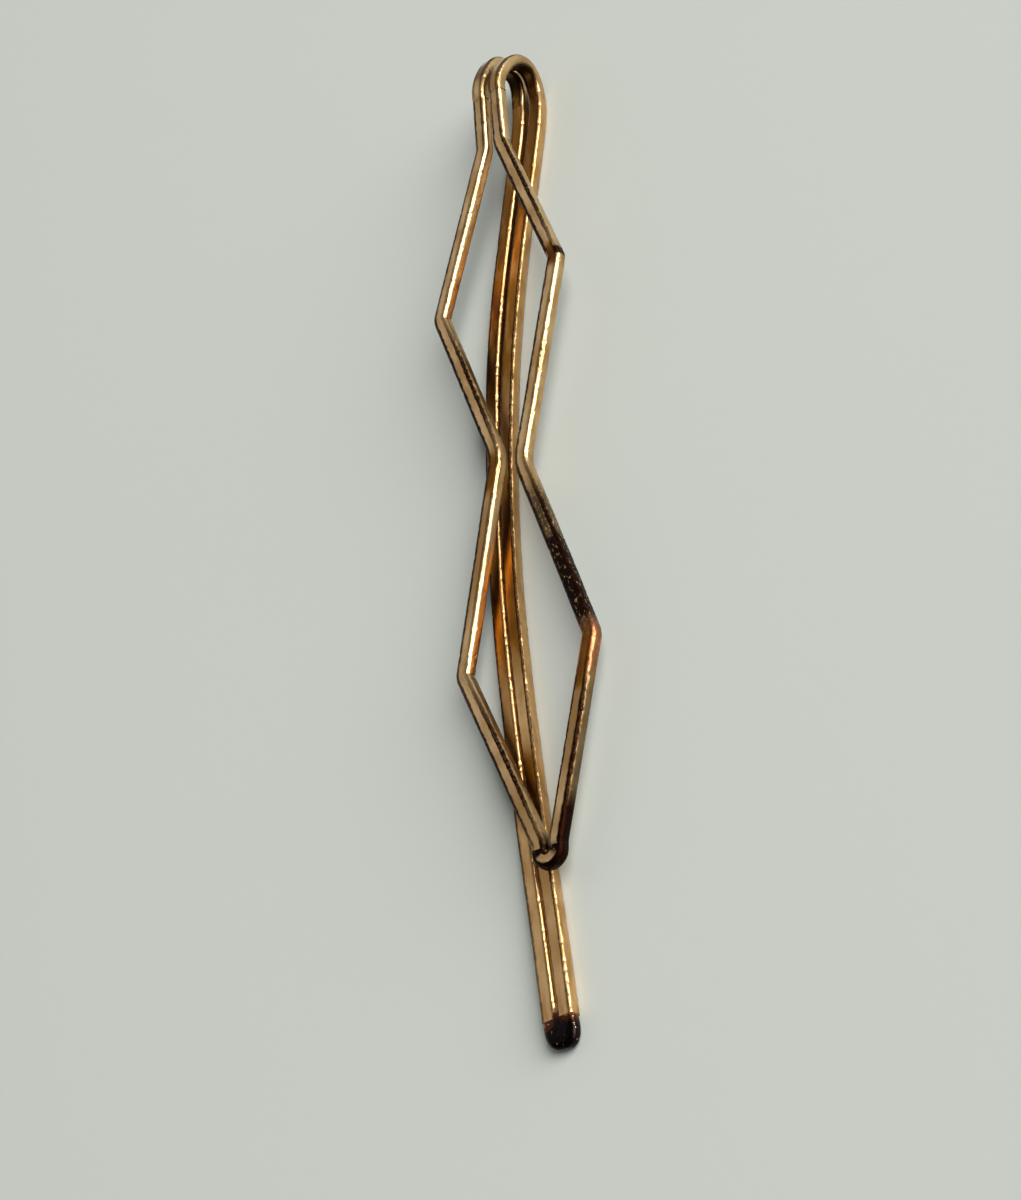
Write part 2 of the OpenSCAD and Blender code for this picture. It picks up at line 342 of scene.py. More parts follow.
class WireDrawing:
    """Draws wire along a path with Geometry Nodes, with its section, waver, dents and finish as inputs.

    The sizes among the inputs are named after the wire's own. The methods that add nodes take and return the
    tree's nodes, or their sockets.
    """

    SECTION = ("Width", "Thickness", "Shoulder", "Drop")
    SIZES = (*SECTION, "Waver", "Waver length", "Dent", "Dent length", "Crumple")
    SEED = 11
    WAVER_TURN, DENT_TURN = 0.3, 7.1
    FILLET_POINTS = 16
    DENTED_NOISE = (0.02, 0.2)
    DENTS_FROM, DENTS_FULL = 0.7, 1.3
    DENTS_ON_FLAT = 0.1

    def __init__(self, wire: Wire, home: np.ndarray) -> None:
        """Builds the tree.

        Args:
            wire: The wire that is drawn.
            home: The move from the CAD source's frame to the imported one.
        """
        self.wire = wire
        self.home = home
        self.tree = bpy.data.node_groups.new("drawn_wire", "GeometryNodeTree")
        kinds = {"Geometry": "Geometry", **dict.fromkeys(self.SIZES, "Float")}
        kinds.update({"Girth points": "Int", "Seed": "Int", "Finish": "Material"})
        for name, kind in kinds.items():
            self.tree.interface.new_socket(name, in_out="INPUT", socket_type="NodeSocket" + kind)
        self.tree.interface.new_socket("Geometry", in_out="OUTPUT", socket_type="NodeSocketGeometry")
        self.given = add_node(self.tree, "NodeGroupInput").outputs
        self._build()

    def _build(self) -> None:
        """Makes the tree: a rounded section, swept along the wavered path, named, dented and dressed."""
        tree = self.tree
        section, section_place = self._section()
        sweep = {0: self._wavered_path(), 1: section, "Fill Caps": True}
        swept = add_node(tree, "GeometryNodeCurveToMesh", {}, sweep)
        dented = self._dented(self._with_lie(swept, section_place))
        real = add_node(tree, "GeometryNodeRealizeInstances", {}, {0: dented})
        dressed = add_node(tree, "GeometryNodeSetMaterial", {}, {0: real, "Material": self.given["Finish"]})
        add_node(tree, "NodeGroupOutput", {}, {0: dressed})

    def _noise(self, place: Any, length: Any, turn: float) -> Any:
        """Adds noise of a given length at a place, in three independent channels about nought.

        Args:
            place: The place that the noise is read at.
            length: The noise's length.
            turn: What sets this noise apart from the tree's others.

        Returns:
            A vector from -0.5 to 0.5 on each axis.
        """
        tree = self.tree
        per = add_node(tree, MATH, DIVIDE, {0: 1.0, 1: length})
        scaled = add_node(tree, VECTOR_MATH, SCALE, {0: place, "Scale": per})
        seeded = add_node(tree, MATH, ADD, {0: self.given["Seed"], 1: turn})
        read = {"Vector": scaled, "W": seeded, "Scale": 1.0, "Detail": 2.0}
        noise = add_node(tree, NOISE, {"noise_dimensions": "4D"}, read).outputs["Color"]
        return add_node(tree, VECTOR_MATH, SUBTRACT, {0: noise, 1: (0.5, 0.5, 0.5)})

    def _wavered_path(self) -> Any:
        """Turns the path's edges into a curve that wavers sideways as hand-bent wire does, and faces out.

        Returns:
            The curve.
        """
        tree = self.tree
        curve = add_node(tree, "GeometryNodeMeshToCurve", {}, {0: self.given["Geometry"]})
        place = add_node(tree, "GeometryNodeInputPosition")
        noise = self._noise(place, self.given["Waver length"], self.WAVER_TURN)
        level = add_node(tree, VECTOR_MATH, MULTIPLY, {0: noise, 1: (2.0, 2.0, 0.0)})
        shift = add_node(tree, VECTOR_MATH, SCALE, {0: level, "Scale": self.given["Waver"]})
        moved = add_node(tree, "GeometryNodeSetPosition", {}, {0: curve, "Offset": shift})
        facing = add_node(tree, NAMED, VECTORS, {"Name": "facing"}).outputs["Attribute"]
        turned = {0: moved, "Normal": facing}
        return add_node(tree, "GeometryNodeSetCurveNormal", {"mode": "FREE"}, turned)

    def _section(self) -> tuple[Any, Any]:
        """Makes the wire's section: a rectangle with round shoulders, in evenly spaced points.

        Returns:
            The section's curve and each point's place in it.
        """
        tree, given = self.tree, self.given
        taller = add_node(tree, MATH, DIVIDE, {0: given["Drop"], 1: given["Shoulder"]})
        thin = add_node(tree, MATH, DIVIDE, {0: given["Thickness"], 1: taller})
        sides = {"Width": thin, "Height": given["Width"]}
        box = add_node(tree, "GeometryNodeCurvePrimitiveQuadrilateral", {"mode": "RECTANGLE"}, sides)
        easing = {0: box, "Count": self.FILLET_POINTS, "Radius": given["Shoulder"], "Limit Radius": True}
        eased = add_node(tree, "GeometryNodeFilletCurve", {"mode": "POLY"}, easing)
        pull = add_node(tree, "ShaderNodeCombineXYZ", {}, {"X": taller, "Y": 1.0, "Z": 1.0})
        full = add_node(tree, "GeometryNodeTransform", {}, {0: eased, "Scale": pull})
        spacing = {0: full, "Count": given["Girth points"]}
        even = add_node(tree, "GeometryNodeResampleCurve", {"mode": "COUNT"}, spacing)
        place = add_node(tree, "GeometryNodeInputPosition")
        kept = add_node(tree, "GeometryNodeCaptureAttribute", {"domain": "POINT"})
        kept.capture_items.new("VECTOR", "Lie")
        tree.links.new(even.outputs[0], kept.inputs[0])
        tree.links.new(place.outputs[0], kept.inputs["Lie"])
        return kept.outputs[0], kept.outputs["Lie"]

    def _with_lie(self, mesh: Any, section_place: Any) -> Any:
        """Stores each point's place in the wire, in millimetres: across, through and along it.

        Args:
            mesh: The swept mesh.
            section_place: Each point's place in the section.

        Returns:
            The mesh with its "lie" attribute.
        """
        tree = self.tree
        along = add_node(tree, NAMED, FLOATS, {"Name": "along"}).outputs["Attribute"]
        local = add_node(tree, VECTOR_MATH, SCALE, {0: section_place, "Scale": 1 / MM})
        parts = add_node(tree, SPLIT, {}, {0: local}).outputs
        swapped = {"X": parts["Y"], "Y": parts["X"], "Z": along}
        lie = add_node(tree, "ShaderNodeCombineXYZ", {}, swapped)
        stored = {0: mesh, "Name": "lie", "Value": lie}
        return add_node(tree, "GeometryNodeStoreNamedAttribute", {**VECTORS, "domain": "POINT"}, stored)

    def _dented(self, mesh: Any) -> Any:
        """Presses small dents into the surface, and crumples the stretches that are marked for it.

        Args:
            mesh: The swept mesh.

        Returns:
            The dented mesh.
        """
        tree, given, half = self.tree, self.given, self.wire.flat
        place = add_node(tree, "GeometryNodeInputPosition")
        normal = add_node(tree, "GeometryNodeInputNormal")
        noise = self._noise(place, given["Dent length"], self.DENT_TURN)
        parts = add_node(tree, SPLIT, {}, {0: noise}).outputs
        low, high = self.DENTED_NOISE
        pressing = {"Value": parts["X"], "From Min": low, "From Max": high, "To Min": 0.0, "To Max": -1.0}
        press = add_node(tree, MAP_RANGE, SMOOTH, pressing)
        lie = add_node(tree, NAMED, VECTORS, {"Name": "lie"}).outputs["Attribute"]
        across = add_node(tree, SPLIT, {}, {0: lie}).outputs["X"]
        off_middle = add_node(tree, MATH, ABSOLUTE, {0: across})
        rim = {"Value": off_middle, "From Min": self.DENTS_FROM * half, "From Max": self.DENTS_FULL * half}
        share = add_node(tree, MAP_RANGE, SMOOTH, {**rim, "To Min": self.DENTS_ON_FLAT})
        worn = add_node(tree, MATH, MULTIPLY, {0: press, 1: share})
        depth = add_node(tree, MATH, MULTIPLY, {0: worn, 1: given["Dent"]})
        marked = add_node(tree, NAMED, FLOATS, {"Name": Stain.CRUMPLE.value}).outputs["Attribute"]
        ridges = add_node(tree, MATH, ABSOLUTE, {0: parts["Y"]})
        fold = add_node(tree, MATH, MULTIPLY, {0: ridges, 1: given["Crumple"]})
        crushed = add_node(tree, MATH, MULTIPLY, {0: fold, 1: marked})
        inward = add_node(tree, MATH, SUBTRACT, {0: depth, 1: crushed})
        offset = add_node(tree, VECTOR_MATH, SCALE, {0: normal, "Scale": inward})
        return add_node(tree, "GeometryNodeSetPosition", {}, {0: mesh, "Offset": offset})

    def draw(self, name: str, path: WirePath, finish: bpy.types.Material) -> bpy.types.Object:
        """Draws one stretch of wire as a plain mesh in its place.

        Args:
            name: The piece's name.
            path: The path that it follows.
            finish: Its material.

        Returns:
            The finished piece.
        """
        line = path.spaced(self.wire.spacing).line_mesh(name + "_line", self.home)
        piece = place_object(name, line)
        drawing = piece.modifiers.new("drawn_wire", "NODES")
        drawing.node_group = self.tree
        wire = self.wire
        values: dict[str, Any] = {"Girth points": wire.girth_points, "Seed": self.SEED, "Finish": finish}
        values.update({size: getattr(wire, size.lower().replace(" ", "_")) * MM for size in self.SIZES})
        for socket in self.tree.interface.items_tree:
            if socket.in_out == "INPUT" and socket.name in values:
                drawing[socket.identifier] = values[socket.name]
        solid = bpy.data.meshes.new_from_object(piece.evaluated_get(bpy.context.evaluated_depsgraph_get()))
        piece.modifiers.remove(drawing)
        piece.data = solid
        solid.name = name
        bpy.data.meshes.remove(line)
        return piece


# On the loops, the shade stretch is painted shade on their inner face at the top; the line is partly painted
# dark reflection and the dark side partly painted shade.
LOOP_STAINS = (
    stained(Stain.SHADE, (3.4, 2.1, 0.95))
    + stained(Stain.AMBER, (0.0, 2.4, 0.62))
    + stained(Stain.LINE, (3.0, 4.0, 0.9))
    + stained(Stain.SHADED_SIDE_AND_SOOT, (3.0, 4.0, 0.7))
)


@dataclass
class SpringBend:
    """The bend that springs: two loops of wire side by side, which turn past a half turn."""

    wire: Wire
    pin_length: float = 58.65
    radius: float = 1.7
    stretch: float = 1.13
    close: float = 17.75
    lean: float = 0.325
    rake_back: float = 0.76
    bulge: float = 0.32
    spread: float = 0.1
    pinch: float = 0.24
    end_spread: float = 0.13
    skew: float = 0.74
    left_stains: Stains = LOOP_STAINS + stained(Stain.AMBER, (5.6, 0.62, 0.85))
    right_stains: Stains = LOOP_STAINS + stained(Stain.AMBER, (5.7, 0.6, 0.4))
    stations: int = 160

    @property
    def rake(self) -> float:
        """How far the loop's top sits back, as a share of its height."""
        return self.rake_back / (2 * self.radius)

    @property
    def middle(self) -> tuple[float, float]:
        """The loop's centre, along and above."""
        reach = self.radius * math.hypot(self.stretch, self.rake)
        return self.pin_length - self.wire.thickness / 2 - reach, self.wire.thickness / 2 + self.radius

    @property
    def turn(self) -> float:
        """The whole angle that the loop turns through, in radians."""
        return math.radians(180 + self.close)

    def at(self, angle: Any) -> np.ndarray:
        """Returns the loop's place along and above, at an angle from its centre.

        Args:
            angle: The angle, in radians, from 0 at the pin's far end.

        Returns:
            Its places along and above.
        """
        y, z = self.middle
        along = self.stretch * np.cos(angle) - self.rake * np.sin(angle)
        return np.stack([y + self.radius * along, z + self.radius * np.sin(angle)], -1)

    def heading(self, angle: Any) -> np.ndarray:
        """Returns the wire's direction along and above, at an angle from the loop's centre."""
        along = -self.stretch * np.sin(angle) - self.rake * np.cos(angle)
        return unit(np.stack([along, np.cos(angle)], -1))

    @property
    def leg_end(self) -> float:
        """How far along the pin the lower leg ends and the loop starts."""
        return float(self.at(-math.pi / 2)[0])

    @property
    def last_angle(self) -> float:
        """The angle at which the loop ends."""
        return self.turn - math.pi / 2

    def arm_start(self, side: Side) -> np.ndarray:
        """Returns the point where the loop of one side ends and its arm starts."""
        y, z = self.at(self.last_angle)
        return np.array([side.value * (self.wire.pitch / 2 + self.end_spread) - self.lean, y, z])

    def path(self, side: Side, leg: LowerLeg) -> WirePath:
        """Returns the path of one loop.

        Args:
            side: The loop's side.
            leg: The lower leg that the loop springs from.

        Returns:
            The path, from the leg's end to the arm's start.
        """
        share = np.linspace(0.0, 1.0, self.stations)
        angle = self.turn * share - math.pi / 2
        start = leg.point(side, self.leg_end)
        swing = leg.slope(self.leg_end) * self.radius * self.turn
        across = (self.arm_start(side)[0] - start[0]) * (3 * share**2 - 2 * share**3)
        mid_loop = np.sin(math.pi * share) ** 2
        pinched = (share < 0.5) & (side is Side.LEFT)
        sideways = across + (self.bulge + side.value * self.spread) * mid_loop
        x = start[0] + swing * share * (1 - share) ** 2 + sideways
        x += np.where(pinched, self.pinch * np.sin(2 * math.pi * share) ** 2, 0.0)
        place, heading = self.at(angle), self.heading(angle)
        skew = self.skew if side is Side.LEFT else 0.0
        y = place[:, 0] + (start[1] - self.leg_end) * (1 - share) + skew * mid_loop
        out = np.stack([np.zeros_like(share), heading[:, 1], -heading[:, 0]], -1)
        stains = self.left_stains if side is Side.LEFT else self.right_stains
        return WirePath(np.stack([x, y, place[:, 1]], -1), out, leg.path(side).ends_at, stains)

    def build(
        self, drawing: WireDrawing, leg: LowerLeg, finish: bpy.types.Material
    ) -> list[bpy.types.Object]:
        """Makes both loops, which join the lower leg to the upper leg.

        Args:
            drawing: What draws the wire.
            leg: The lower leg.
            finish: The loops' material.

        Returns:
            The two pieces.
        """
        y, thick = self.middle[0], self.wire.thickness
        high = (drawing.home + [0.0, y, self.arm_start(Side.LEFT)[2] - thick / 2]) * MM
        pieces = []
        for side in Side:
            name = side.name.lower() + "_bend"
            piece = drawing.draw(name + "_loop", self.path(side, leg), finish)
            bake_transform(piece)
            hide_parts(name)
            pieces.append(piece)
        return pieces


@dataclass
class LowerLeg:
    """The flat lower leg: two wires side by side, closed by a rounded, burnt tip."""

    wire: Wire
    bend: SpringBend
    bow: float = 2.85
    bow_power: float = 1.15
    flick: float = 0.4
    flick_power: float = 4.0
    hook: float = 0.4
    hook_power: float = 40.0
    left_spread: float = 0.22
    left_spread_over: tuple[float, float] = (0.55, 0.75)
    right_spread: float = 0.1
    right_spread_over: tuple[float, float] = (0.82, 0.91)
    tip_length: float = 1.5
    tip_lean: float = 0.2
    # Painted shade: the amber and umber stretches darken the leg where the upper leg lies over it, among the
    # pin's own brown patches; the line is partly painted dark reflection, and the dark side painted shade on
    # the far edge.
    left_stains: Stains = (
        stained(Stain.AMBER, (12.5, 2.2, 0.55), (16.5, 3.5, 0.3))
        + stained(Stain.AMBER, (25.8, 8.0, 0.85), (39.5, 5.0, 1.0), (50.0, 8.0, 0.62))
        + stained(Stain.LINE, (28.0, 32.0, 0.35))
        + stained(Stain.SHADED_SIDE_AND_SOOT, (28.0, 32.0, 0.85))
    )
    right_stains: Stains = (
        stained(Stain.AMBER, (7.5, 1.6, 0.3), (3.4, 1.2, 0.16), (12.0, 2.5, 0.6))
        + stained(Stain.AMBER, (25.8, 7.0, 0.85), (40.0, 5.0, 0.6), (50.0, 8.0, 0.62))
        + stained(Stain.LINE, (28.0, 32.0, 0.95))
    )
    stations: int = 600

    def share(self, y: Any) -> Any:
        """Returns how far along the leg a place is, from 0 at the tip to 1 at the bend."""
        return np.maximum(y, 0.0) / self.bend.leg_end

    def middle(self, y: Any) -> Any:
        """Returns how far sideways the leg's middle line is.

        Args:
            y: The place along the pin.

        Returns:
            Its place across.
        """
        t = self.share(y)
        ends = self.flick * t**self.flick_power - self.hook * t**self.hook_power
        return ends - self.bow * np.sin(math.pi * t**self.bow_power)

    def slope(self, y: Any) -> Any:
        """Returns how fast the leg's middle line goes sideways.

        Args:
            y: The place along the pin.

        Returns:
            Its change across for each step along.
        """
        t = self.share(y)
        flick = self.flick * self.flick_power * t ** (self.flick_power - 1)
        hook = self.hook * self.hook_power * t ** (self.hook_power - 1)
        turn = math.pi * t**self.bow_power
        bow = self.bow * np.cos(turn) * math.pi * self.bow_power * t ** (self.bow_power - 1)
        return (flick - hook - bow) / self.bend.leg_end

    def spread(self, side: Side, y: Any) -> Any:
        """Returns how far one wire has spread from the other, towards the bend.

        Args:
            side: The wire's side.
            y: The place along the pin.

        Returns:
            Its move across.
        """
        low, high = self.left_spread_over if side is Side.LEFT else self.right_spread_over
        full = self.left_spread if side is Side.LEFT else self.right_spread
        t = np.clip((self.share(y) - low) / (high - low), 0.0, 1.0)
        return side.value * full * t * t * (3 - 2 * t)

    def point(self, side: Side, y: Any) -> np.ndarray:
        """Returns the middle of one of the leg's wires, at a place along the pin.

        Args:
            side: The wire's side.
            y: The place along the pin.

        Returns:
            The point or points.
        """
        slope = self.slope(y)
        length = np.sqrt(1 + slope**2)
        offset = side.value * self.wire.pitch / 2 / length
        z = np.full_like(np.asarray(y, float), self.wire.thickness / 2)
        return np.stack([self.middle(y) + self.spread(side, y) + offset, y - offset * slope, z], -1)

    def path(self, side: Side) -> WirePath:
        """Returns the path of one of the leg's wires.

        Args:
            side: The wire's side.

        Returns:
            The path, from the tip to the bend.
        """
        y = np.linspace(self.tip_length, self.bend.leg_end, self.stations)
        stains = self.left_stains if side is Side.LEFT else self.right_stains
        return WirePath(self.point(side, y), np.tile(-UP, (self.stations, 1)), 0.0, stains)

    def build(
        self, drawing: WireDrawing, wire: bpy.types.Material, tip: bpy.types.Material
    ) -> list[bpy.types.Object]:
        """Makes both wires of the leg and the tip that closes them.

        Args:
            drawing: What draws the wire.
            wire: The wires' material.
            tip: The tip's material.

        Returns:
            The three pieces.
        """
        pieces = []
        for side in Side:
            name = side.name.lower() + "_leg"
            piece = drawing.draw(name + "_wire", self.path(side), wire)
            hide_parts(name)
            pieces.append(piece)
        bead = SolderedTip(self).build(drawing.home, tip)
        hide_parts("tip")
        pieces.append(bead)
        for piece in pieces:
            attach(piece, "lower_leg")
        return pieces


@dataclass
class SolderedTip:
    """The bead of burnt solder that closes both wires and wets up into the groove between them.

    Attributes:
        leg: The leg that it closes.
        swell: How much wider than the wires it is, as a share.
        creep: How far the solder has crept up the groove.
        creep_width: How wide that tongue is.
        creep_fade: How fast the tongue ends, going out along the bead.
        hidden: How far the bead reaches into the wires.
        tuck: How much narrower it is there, as a share.
        blunt_across: How blunt its end is, seen from above.
        blunt_through: How blunt it is, seen from the side.
        squareness: How square its section is: 2 is an ellipse.
        least: The least half size of a ring.
        burnt_from: How far along the bead the burnt part starts, as a share.
        burnt_slant: How much further that is for each millimetre across.
        rings: How many rings it is made of.
        girth_points: How many points each ring has.
    """

    leg: LowerLeg
    swell: float = 0.1
    creep: float = 0.42
    creep_width: float = 0.42
    creep_fade: float = 1.6
    hidden: float = 0.3
    tuck: float = 0.48
    blunt_across: float = 0.6
    blunt_through: float = 0.45
    squareness: float = 3.6
    least: float = 0.001
    burnt_from: float = 0.16
    burnt_slant: float = 0.1
    rings: int = 44
    girth_points: int = 96

    def outline(self, half_w: float, half_t: float) -> np.ndarray:
        """Returns one ring of the bead, as places across and through it.

        Args:
            half_w: Half its width.
            half_t: Half its thickness.

        Returns:
            A row for each point round the ring.
        """
        turn = np.linspace(0, 2 * math.pi, self.girth_points, endpoint=False)
        power = 2.0 / self.squareness
        across = np.sign(np.cos(turn)) * np.abs(np.cos(turn)) ** power * half_w
        through = np.sign(np.sin(turn)) * np.abs(np.sin(turn)) ** power * half_t
        return np.stack([across, through], -1)

    def ring(self, share: float) -> tuple[np.ndarray, float]:
        """Returns one ring and how far out from the wires' ends it lies.

        Args:
            share: Where the ring is: -1 hidden in the wires, 0 at their ends and 1 at the bead's end.

        Returns:
            The ring's places across and through the bead, and its distance.
        """
        wire = self.leg.wire
        full_w, full_t = (wire.pitch + wire.width) / 2, wire.thickness / 2
        if share < 0:
            inside = 1 - self.tuck * share**2
            return self.outline(full_w * inside, full_t * inside), self.hidden * share
        turn = share * math.pi / 2
        width = full_w * math.cos(turn) ** self.blunt_across * (1 + self.swell * math.sin(2 * turn))
        height = full_t * math.cos(turn) ** self.blunt_through
        ring = self.outline(max(width, self.least), max(height, self.least))
        return ring, self.leg.tip_length * math.sin(turn)

    def build(self, home: np.ndarray, finish: bpy.types.Material) -> bpy.types.Object:
        """Makes the bead as a closed mesh.

        Args:
            home: The move from the CAD source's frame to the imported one.
            finish: Its material.

        Returns:
            The piece.
        """
        leg, rows, burn = self.leg, [], []
        length = leg.tip_length
        for share in np.linspace(-1.0, 1.0, self.rings):
            ring, gone = self.ring(share)
            wetting = np.exp(-((ring[:, 0] / self.creep_width) ** 2))
            creep = self.creep * wetting * max(0.0, 1 - max(share, 0.0) * self.creep_fade)
            lean = leg.tip_lean * max(gone, 0) / length
            rows.append(np.column_stack([ring[:, 0] + lean, length - gone + creep, ring[:, 1]]))
            burn.append(np.full(self.girth_points, gone / length) + self.burnt_slant * ring[:, 0])
        points = np.concatenate(rows)
        points[:, 0] += leg.middle(length)
        points[:, 2] += leg.wire.thickness / 2
        count = self.girth_points
        faces = []
        for i in range(self.rings - 1):
            for j in range(count):
                k = (j + 1) % count
                faces.append((i * count + j, (i + 1) * count + j, (i + 1) * count + k, i * count + k))
        faces.append(tuple(range(count)))
        faces.append(tuple(reversed(range((self.rings - 1) * count, self.rings * count))))
        mesh = bpy.data.meshes.new("tip_bead")
        mesh.from_pydata((points + home) * MM, [], faces)
        mesh.shade_smooth()
        layer = mesh.attributes.new("burn", "FLOAT", "POINT")
        layer.data.foreach_set("value", (np.concatenate(burn) - self.burnt_from).astype(np.float32))
        mesh.materials.append(finish)
        return place_object("tip_bead", mesh)


@dataclass
class UpperLeg:
    """The upper leg: two zigzag arms that make two open diamonds, and the nose that joins them."""

    wire: Wire
    bend: SpringBend
    leg: LowerLeg
    neck_reach: float = 3.8
    neck_lean: float = 0.84
    neck_spread: float = 0.16
    corner_reach: float = 4.15
    upper_run: float = 9.55
    waist_run: float = 10.75
    lower_run: float = 11.9
    nose_run: float = 10.4
    corner_stagger: float = 0.25
    lower_stagger: float = 0.3
    lower_shift: float = 0.05
    waist_stagger: float = 1.0
    waist_gap: float = 0.68
    waist_lift: float = 0.48
    nose_lift: float = 0.2
    arm_bow: float = 0.9
    nose_shift: float = 0.36
    corner_r: float = 0.65
    neck_r: float = 1.2
    waist_r: float = 2.2
    nose_slot: float = 0.12
    nose_neck: float = 0.35
    nose_share: float = 0.75
    # On the arms, the dark lines are partly painted dark reflection and the dark sides partly painted shade
    # on the far edge; the amber, copper and black patches are the pin's own.
    left_stains: Stains = (
        stained(Stain.LINE, (0.0, 3.2, 0.8), (9.0, 4.6, 0.45), (19.0, 5.6, 1.0))
        + stained(Stain.LINE, (30.5, 5.0, 0.5), (43.0, 6.2, 1.0))
        + stained(Stain.AMBER, (25.2, 1.3, 0.85), (29.8, 3.6, 0.36), (46.0, 2.0, 0.25))
        + stained(Stain.SHADED_SIDE_AND_SOOT, (22.0, 25.0, 0.8), (48.9, 1.2, -0.95))
    )
    right_stains: Stains = (
        stained(Stain.LINE, (6.5, 6.6, 1.0), (18.5, 4.6, 0.4), (31.0, 6.0, 1.0), (43.0, 6.0, 1.0))
        + stained(Stain.AMBER, (12.8, 0.75, 0.95), (38.3, 1.9, 0.8), (41.5, 3.0, 0.35))
        + stained(Stain.SOOT_AND_SHADE, (28.9, 2.2, 0.55), (33.3, 3.4, 0.95), (48.4, 0.7, 0.6))
        + stained(Stain.COPPER, (37.4, 1.6, 0.75))
        + stained(Stain.SHADED_SIDE_AND_SOOT, (18.0, 17.0, 0.8), (42.6, 4.6, -0.55), (44.6, 3.2, -0.62))
        + stained(Stain.SHADED_SIDE_AND_SOOT, (48.2, 4.2, -0.95), (12.75, 0.42, -0.86))
    )
    # The nose's black stretch, line and dark side blacken its crumpled slot and rim: painted shade in the
    # crease and on the rim, with some of the pin's own grime.
    nose_stains: Stains = (
        stained(Stain.CRUMPLE, (1.1, 0.9, 0.9))
        + stained(Stain.LINE, (1.1, 2.4, 1.0))
        + stained(Stain.SHADED_SIDE_AND_SOOT, (1.1, 2.4, 1.0))
        + stained(Stain.SOOT_AND_SHADE, (0.15, 0.25, 0.8), (1.9, 0.55, 0.8))
    )
    nose_stations: int = 60

    @property
    def neck_y(self) -> float:
        """How far along the pin the neck is."""
        return self.bend.middle[0] - self.neck_reach

    @property
    def neck_z(self) -> float:
        """The neck's height, straight on from the bend's end."""
        end, heading = self.bend.at(self.bend.last_angle), self.bend.heading(self.bend.last_angle)
        return float(end[1] - (end[0] - self.neck_y) * heading[1] / heading[0])

    @property
    def waist_y(self) -> float:
        """How far along the pin the waist is."""
        return self.neck_y - self.upper_run - self.waist_run

    @property
    def pinch_y(self) -> float:
        """Where the arms have come together at the nose."""
        return self.waist_y - self.lower_run - self.nose_run

    @property
    def nose_y(self) -> float:
        """The centre of the nose's turn."""
        return self.pinch_y - self.nose_neck

    @property
    def nose_r(self) -> float:
        """The nose's radius, at the middle of the wire."""
        return (self.wire.width + self.nose_slot) / 2

    @property
    def nose_cut(self) -> float:
        """Where the arms end and the nose begins."""
        return self.pinch_y - self.nose_share * self.nose_neck

    @property
    def waist_z(self) -> float:
        """The waist's height at the middle of the wire."""
        return self.wire.thickness * 1.5 + self.waist_lift

    @property
    def nose_z(self) -> float:
        """The nose's height at the middle of the wire."""
        return self.wire.thickness * 1.5 + self.nose_lift

    def height(self, y: float) -> float:
        """Returns the height of the arms' middle at a place along the pin.

        Args:
            y: The place along the pin.

        Returns:
            The height.
        """
        if y > self.waist_y:
            share = (y - self.waist_y) / (self.neck_y - self.waist_y)
            return self.waist_z + (self.neck_z - self.waist_z) * share
        share = (y - self.pinch_y) / (self.waist_y - self.pinch_y)
        return self.nose_z + (self.waist_z - self.nose_z) * share

    def arm_point(self, side: Side, y: float, reach: float, shift: float = 0.0) -> np.ndarray:
        """Returns a corner of one arm.

        Args:
            side: The arm's side.
            y: The corner's place along the pin.
            reach: Its distance from the upper leg's middle line.
            shift: How far it sits to the side of that.

        Returns:
            The corner's place.
        """
        gone = (self.neck_y - y) / (self.neck_y - self.nose_y)
        bow = 4 * self.arm_bow * gone * (1 - gone)
        line = -self.neck_lean + (self.nose_shift + self.neck_lean) * gone - bow
        return np.array([line + side.value * reach + shift, y, self.height(y)])

    def arm_path(self, side: Side) -> WirePath:
        """Returns the path of one arm.

        Args:
            side: The arm's side.

        Returns:
            The path, from the bend to the nose.
        """
        sign = side.value
        neck_x = sign * (self.wire.pitch / 2 + self.neck_spread) - self.neck_lean
        upper_y = self.neck_y - self.upper_run + sign * self.corner_stagger / 2
        waist_y = self.waist_y - sign * self.waist_stagger / 2
        lower_y = self.waist_y - self.lower_run - sign * self.lower_stagger / 2
        nose_x = self.nose_shift + sign * self.nose_r
        corners = [
            self.bend.arm_start(side),
            np.array([neck_x, self.neck_y, self.neck_z]),
            self.arm_point(side, upper_y, self.corner_reach),
            self.arm_point(side, waist_y, (self.wire.width + self.waist_gap) / 2),
            self.arm_point(side, lower_y, self.corner_reach, self.lower_shift),
            np.array([nose_x, self.pinch_y, self.nose_z]),
            np.array([nose_x, self.nose_cut, self.nose_z]),
        ]
        points = rounded(corners, [self.neck_r, self.corner_r, self.waist_r, self.corner_r, self.nose_r])
        out = np.tile(UP, (len(points), 1))
        stains = self.left_stains if side is Side.LEFT else self.right_stains
        return WirePath(points, out, self.bend.path(side, self.leg).ends_at, stains)

    def nose_path(self) -> WirePath:
        """Returns the path of the nose.

        Returns:
            The path, from the left arm's end to the right arm's.
        """
        angle = np.linspace(math.pi, 2 * math.pi, self.nose_stations)
        x, y = self.nose_shift + self.nose_r * np.cos(angle), self.nose_y + self.nose_r * np.sin(angle)
        turn = np.stack([x, y, np.full_like(x, self.nose_z)], -1)
        ends = [np.array([self.nose_shift + s.value * self.nose_r, self.nose_cut, self.nose_z]) for s in Side]
        points = np.concatenate([[ends[0]], turn, [ends[1]]])
        out = np.tile(UP, (len(points), 1))
        return WirePath(points, out, self.arm_path(Side.LEFT).ends_at, self.nose_stains)

    def build(self, drawing: WireDrawing, finish: bpy.types.Material) -> list[bpy.types.Object]:
        """Makes both arms and the nose.

        Args:
            drawing: What draws the wire.
            finish: Their material.

        Returns:
            The three pieces.
        """
        paths = {side.name.lower() + "_arm": self.arm_path(side) for side in Side}
        paths["nose"] = self.nose_path()
        pieces = []
        for name, path in paths.items():
            piece = drawing.draw(name + "_wire", path, finish)
            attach(piece, "upper_leg")
            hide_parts(name)
            pieces.append(piece)
        return pieces


